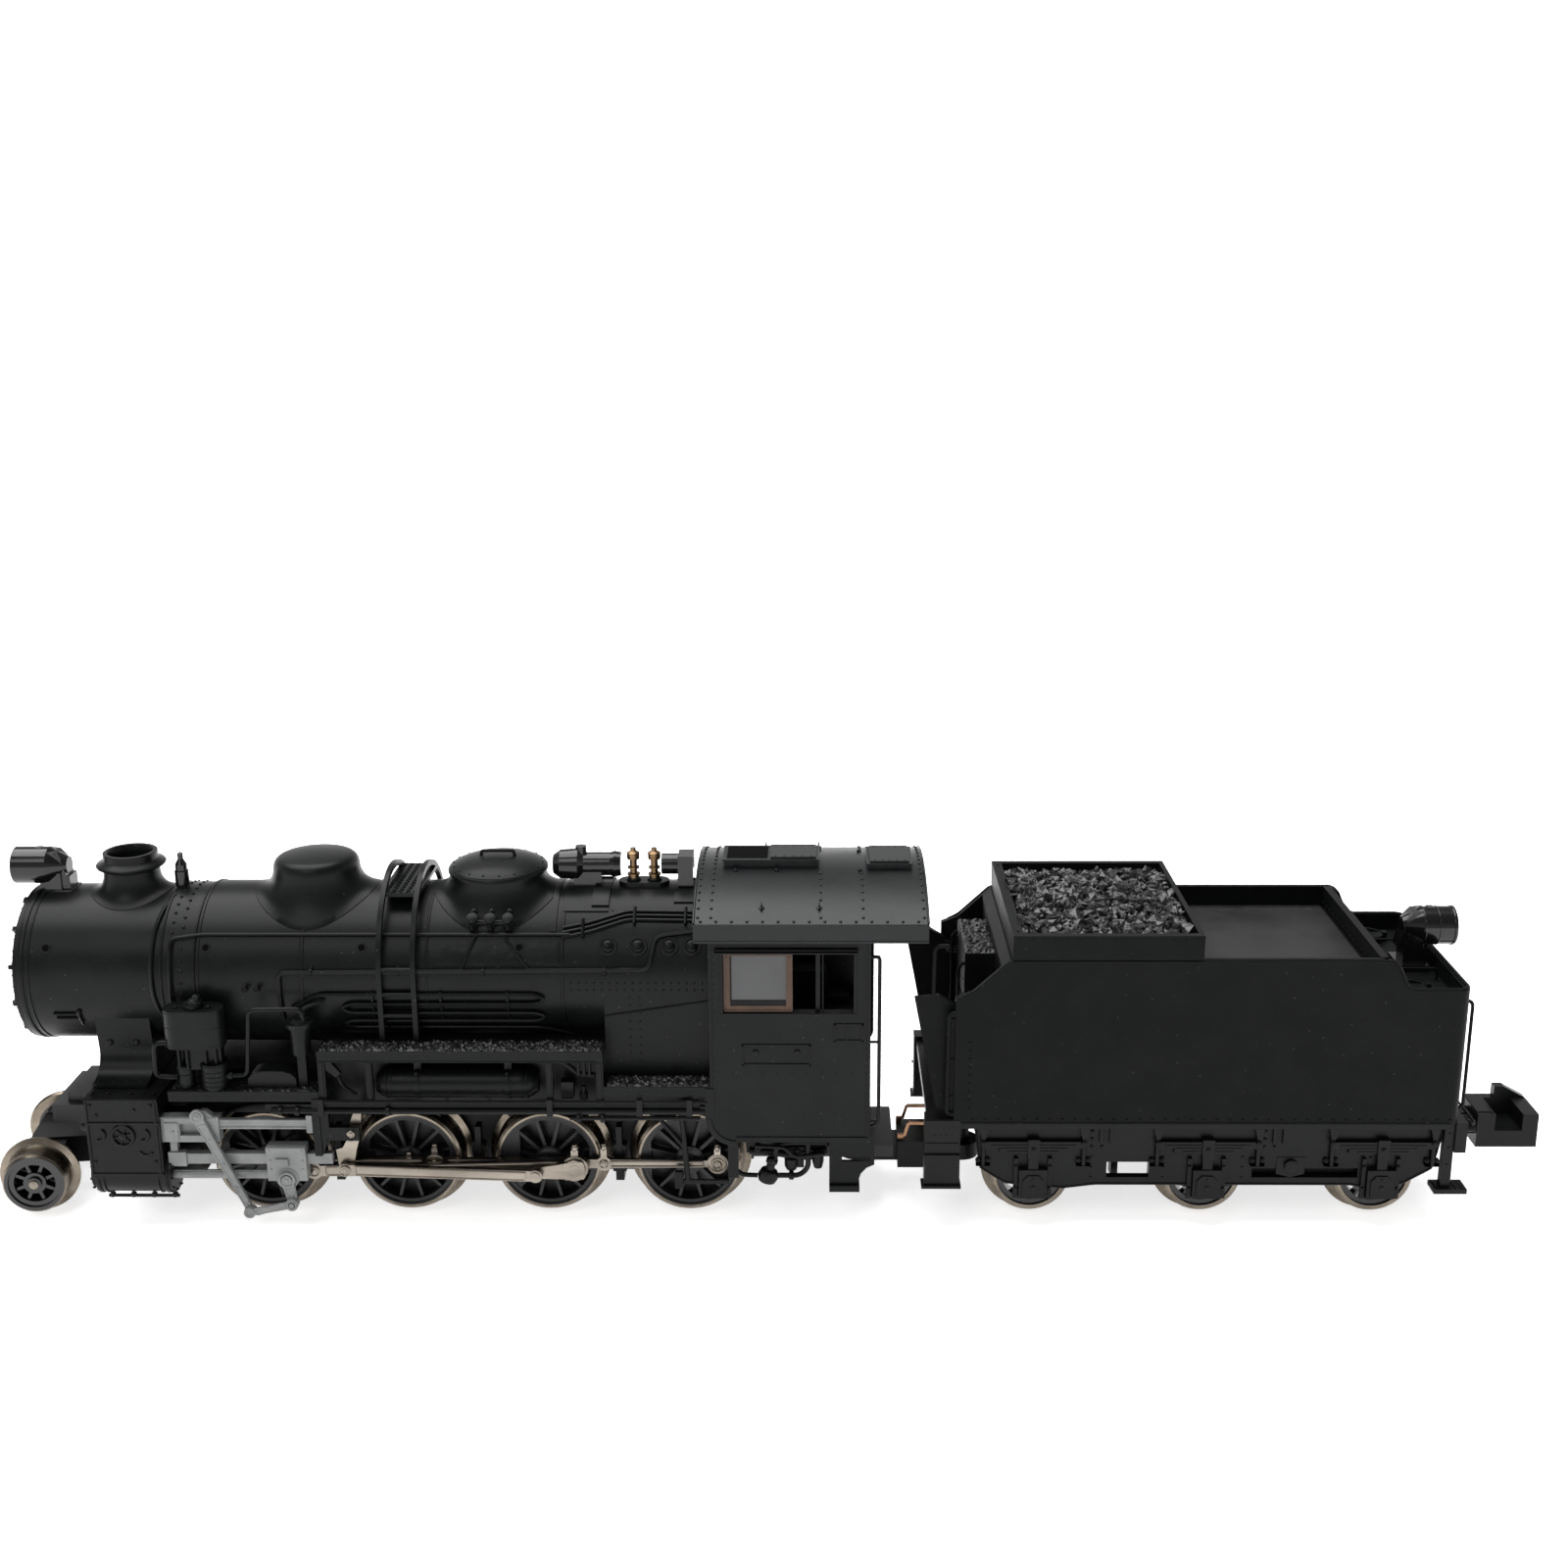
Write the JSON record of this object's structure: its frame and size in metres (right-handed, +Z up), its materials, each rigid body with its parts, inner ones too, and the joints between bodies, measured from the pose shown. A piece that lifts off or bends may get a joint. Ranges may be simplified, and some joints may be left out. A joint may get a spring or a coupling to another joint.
{
  "type": "model steam locomotive",
  "caption": "Small-scale model tender steam locomotive in black, with spoked coupled wheels, moving rods and valve gear, a swinging leading truck, a drawbar-coupled tender and a hook coupler.",
  "frame": {"origin": "middle of the overall box, at the plane through the lowest points of the wheel flanges", "axes": "+X along the track towards the tender's coupler, -X is the chimney end, -Y is the engine's left side, +Z up"},
  "size_m": [0.1135, 0.0174, 0.0265],
  "materials": {
    "black_body": "matt, fine grain",
    "tender_black": "matt, fine grain",
    "gloss_black": "gloss",
    "frame_black": "matt",
    "cast_frame": "blackened die casting",
    "grey_gear": "satin",
    "nickel": "polished, slightly warm",
    "brass": "satin",
    "wheel_black": "satin",
    "window_brown": "satin",
    "clear": "clear",
    "coal": "broken, glinting",
    "copper_wire": "bright phosphor bronze",
    "steel": "bright",
    "gear_plastic": "natural acetal"
  },
  "bodies": {
    "engine": {"boiler": "black_body", "smokebox_door": "black_body", "chimney": "black_body", "sand_dome": "black_body", "steam_dome": "black_body", "safety_valves": "brass", "steam_fittings": "gloss_black", "front_headlight": "gloss_black", "boiler_ladder": "black_body", "running_boards": "black_body", "air_tanks": "black_body", "pumps": "black_body", "cab": "black_body", "cab_roof": "black_body", "cab_window_frames": "window_brown", "cab_window_panes": "clear", "cylinder_block": "frame_black", "slide_bars": "grey_gear", "chassis_frame": "cast_frame", "keeper_plate": "frame_black", "motor": "steel", "chassis_screws": "steel"},
    "motor_shaft": {"worm_shaft": "brass"},
    "driver_1": {"driver_tyres_1": "nickel", "driver_centres_1": "wheel_black"},
    "driver_2": {"driver_tyres_2": "nickel", "driver_centres_2": "wheel_black"},
    "driver_3": {"driver_tyres_3": "nickel", "driver_centres_3": "wheel_black", "return_cranks": "nickel", "drive_gear": "gear_plastic"},
    "driver_4": {"driver_tyres_4": "nickel", "driver_centres_4": "wheel_black"},
    "side_rod_left": {"side_rod_left": "nickel"},
    "main_rod_left": {"main_rod_left": "nickel"},
    "eccentric_rod_left": {"eccentric_rod_left": "nickel"},
    "expansion_link_left": {"expansion_link_left": "nickel"},
    "crosshead_left": {"crosshead_left": "grey_gear"},
    "combination_lever_left": {"combination_lever_left": "grey_gear"},
    "union_link_left": {"union_link_left": "grey_gear"},
    "side_rod_right": {"side_rod_right": "nickel"},
    "main_rod_right": {"main_rod_right": "nickel"},
    "eccentric_rod_right": {"eccentric_rod_right": "nickel"},
    "expansion_link_right": {"expansion_link_right": "nickel"},
    "crosshead_right": {"crosshead_right": "grey_gear"},
    "combination_lever_right": {"combination_lever_right": "grey_gear"},
    "union_link_right": {"union_link_right": "grey_gear"},
    "leading_truck": {"leading_truck": "frame_black"},
    "leading_wheelset": {"leading_wheelset": "nickel"},
    "drawbar": {"drawbar": "frame_black", "drawbar_contacts": "copper_wire"},
    "tender": {"tender_body": "tender_black", "coal_bunker": "tender_black", "coal_load": "coal", "tender_frame": "frame_black", "rear_headlight": "gloss_black"},
    "tender_wheelset_1": {"tender_wheelset_1": "nickel"},
    "tender_wheelset_2": {"tender_wheelset_2": "nickel"},
    "tender_wheelset_3": {"tender_wheelset_3": "nickel"},
    "rear_coupler": {"rear_coupler": "frame_black"}
  },
  "joints": [
    {"name": "main_driver_spin", "type": "hinge", "parent": "engine", "child": "driver_3", "pos_m": [-0.0155, 0, 0.00445], "axis": [0, 1, 0], "continuous": true},
    {"name": "driver_1_spin", "type": "hinge", "parent": "engine", "child": "driver_1", "pos_m": [-0.03582, 0, 0.00445], "axis": [0, 1, 0], "continuous": true},
    {"name": "driver_2_spin", "type": "hinge", "parent": "engine", "child": "driver_2", "pos_m": [-0.02566, 0, 0.00445], "axis": [0, 1, 0], "continuous": true},
    {"name": "driver_4_spin", "type": "hinge", "parent": "engine", "child": "driver_4", "pos_m": [-0.00534, 0, 0.00445], "axis": [0, 1, 0], "continuous": true},
    {"name": "motor_shaft_spin", "type": "hinge", "parent": "engine", "child": "motor_shaft", "pos_m": [-0.0155, 0, 0.008], "axis": [1, 0, 0], "continuous": true},
    {"name": "side_rod_left_turn", "type": "hinge", "parent": "driver_3", "child": "side_rod_left", "pos_m": [-0.01347, -0.006, 0.00445], "axis": [0, 1, 0], "continuous": true},
    {"name": "main_rod_left_turn", "type": "hinge", "parent": "driver_3", "child": "main_rod_left", "pos_m": [-0.01347, -0.0067, 0.00445], "axis": [0, 1, 0], "continuous": true},
    {"name": "eccentric_rod_left_turn", "type": "hinge", "parent": "driver_3", "child": "eccentric_rod_left", "pos_m": [-0.0162, -0.0076, 0.00425], "axis": [0, 1, 0], "continuous": true},
    {"name": "expansion_link_left_swing", "type": "hinge", "parent": "engine", "child": "expansion_link_left", "pos_m": [-0.0291, -0.0075, 0.0076], "axis": [0, 1, 0], "range_deg": [-27.9, 0.6]},
    {"name": "crosshead_left_slide", "type": "slide", "parent": "engine", "child": "crosshead_left", "axis": [1, 0, 0], "range_m": [-0.00406, 0]},
    {"name": "combination_lever_left_swing", "type": "hinge", "parent": "engine", "child": "combination_lever_left", "pos_m": [-0.0398, -0.0082, 0.0091], "axis": [0, 1, 0], "range_deg": [0, 28.7]},
    {"name": "union_link_left_swing", "type": "hinge", "parent": "crosshead_left", "child": "union_link_left", "pos_m": [-0.0335, -0.0085, 0.0024], "axis": [0, 1, 0], "range_deg": [-13.4, 0]},
    {"name": "side_rod_right_turn", "type": "hinge", "parent": "driver_3", "child": "side_rod_right", "pos_m": [-0.0155, 0.006, 0.00648], "axis": [0, 1, 0], "continuous": true},
    {"name": "main_rod_right_turn", "type": "hinge", "parent": "driver_3", "child": "main_rod_right", "pos_m": [-0.0155, 0.0067, 0.00648], "axis": [0, 1, 0], "continuous": true},
    {"name": "eccentric_rod_right_turn", "type": "hinge", "parent": "driver_3", "child": "eccentric_rod_right", "pos_m": [-0.0153, 0.0076, 0.00375], "axis": [0, 1, 0], "continuous": true},
    {"name": "expansion_link_right_swing", "type": "hinge", "parent": "engine", "child": "expansion_link_right", "pos_m": [-0.0291, 0.0075, 0.0076], "axis": [0, 1, 0], "range_deg": [-10.4, 18.1]},
    {"name": "crosshead_right_slide", "type": "slide", "parent": "engine", "child": "crosshead_right", "axis": [1, 0, 0], "range_m": [-0.00203, 0.00203]},
    {"name": "combination_lever_right_swing", "type": "hinge", "parent": "engine", "child": "combination_lever_right", "pos_m": [-0.0398, 0.0082, 0.0091], "axis": [0, 1, 0], "range_deg": [-14.6, 14.6]},
    {"name": "union_link_right_swing", "type": "hinge", "parent": "crosshead_right", "child": "union_link_right", "pos_m": [-0.03553, 0.0085, 0.0024], "axis": [0, 1, 0], "range_deg": [-7, 7]},
    {"name": "leading_truck_swing", "type": "hinge", "parent": "engine", "child": "leading_truck", "pos_m": [-0.0473, 0, 0.0033], "axis": [0, 0, 1], "range_deg": [-19, 5]},
    {"name": "leading_wheelset_spin", "type": "hinge", "parent": "leading_truck", "child": "leading_wheelset", "pos_m": [-0.05345, -0.00076, 0.00285], "axis": [-0.1219, 0.9925, 0], "continuous": true},
    {"name": "drawbar_engine_pivot", "type": "hinge", "parent": "engine", "child": "drawbar", "pos_m": [0.0068, 0, 0.0029], "axis": [0, 0, 1], "range_deg": [-8, 8]},
    {"name": "drawbar_tender_pivot", "type": "hinge", "parent": "drawbar", "child": "tender", "pos_m": [0.0146, 0, 0.0029], "axis": [0, 0, 1], "range_deg": [-8, 8]},
    {"name": "tender_wheelset_1_spin", "type": "hinge", "parent": "tender", "child": "tender_wheelset_1", "pos_m": [0.01915, 0, 0.0034], "axis": [0, 1, 0], "continuous": true},
    {"name": "tender_wheelset_2_spin", "type": "hinge", "parent": "tender", "child": "tender_wheelset_2", "pos_m": [0.03145, 0, 0.0034], "axis": [0, 1, 0], "continuous": true},
    {"name": "tender_wheelset_3_spin", "type": "hinge", "parent": "tender", "child": "tender_wheelset_3", "pos_m": [0.04375, 0, 0.0034], "axis": [0, 1, 0], "continuous": true},
    {"name": "rear_coupler_swing", "type": "hinge", "parent": "tender", "child": "rear_coupler", "pos_m": [0.047, 0, 0.00505], "axis": [0, 0, 1], "range_deg": [-15, 15], "stiffness_Nm_per_rad": 0.0004}
  ],
  "couplings": [
    {"joint": "driver_1_spin", "follows": "main_driver_spin", "ratio": 1},
    {"joint": "driver_2_spin", "follows": "main_driver_spin", "ratio": 1},
    {"joint": "driver_4_spin", "follows": "main_driver_spin", "ratio": 1},
    {"joint": "motor_shaft_spin", "follows": "main_driver_spin", "ratio": 18},
    {"joint": "side_rod_left_turn", "follows": "main_driver_spin", "ratio": -1},
    {"joint": "main_rod_left_turn", "follows": "main_driver_spin", "ratio": -1},
    {"joint": "eccentric_rod_left_turn", "follows": "main_driver_spin", "ratio": -1},
    {"joint": "combination_lever_left_swing", "follows": "crosshead_left_slide", "rad_per_m": -121.4},
    {"joint": "union_link_left_swing", "follows": "crosshead_left_slide", "rad_per_m": 55.669},
    {"joint": "side_rod_right_turn", "follows": "main_driver_spin", "ratio": -1},
    {"joint": "main_rod_right_turn", "follows": "main_driver_spin", "ratio": -1},
    {"joint": "eccentric_rod_right_turn", "follows": "main_driver_spin", "ratio": -1},
    {"joint": "combination_lever_right_swing", "follows": "crosshead_right_slide", "rad_per_m": -121.4},
    {"joint": "union_link_right_swing", "follows": "crosshead_right_slide", "rad_per_m": 55.669}
  ]
}
